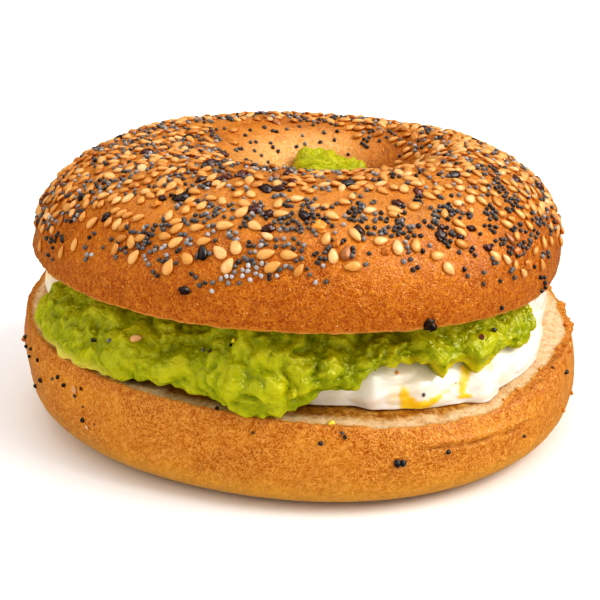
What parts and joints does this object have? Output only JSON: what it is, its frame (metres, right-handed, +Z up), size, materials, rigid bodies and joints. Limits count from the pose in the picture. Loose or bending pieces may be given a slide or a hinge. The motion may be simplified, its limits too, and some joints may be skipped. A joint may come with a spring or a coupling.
{
  "type": "bagel sandwich",
  "caption": "Seeded bagel cut in half round a filling of cooked egg white and mashed avocado, which hangs over the front edge and shows in the hole.",
  "frame": {"origin": "on the table, under the middle of the sandwich's bounding box", "axes": "+Z up, -Y towards the viewer of the picture, +X to the viewer's right"},
  "size_m": [0.1106, 0.1078, 0.054],
  "materials": {
    "bagel_bottom": "baked crust, golden brown, with a pale crumb on the cut face",
    "egg": "moist, smooth, cream white with drips of yolk",
    "avocado": "moist, lumpy mash, yellow green",
    "bagel_top": "baked crust, golden brown, covered in seeds"
  },
  "bodies": {
    "root": {"bagel_bottom": "bagel_bottom", "egg": "egg", "avocado": "avocado", "bagel_top": "bagel_top"}
  },
  "joints": []
}
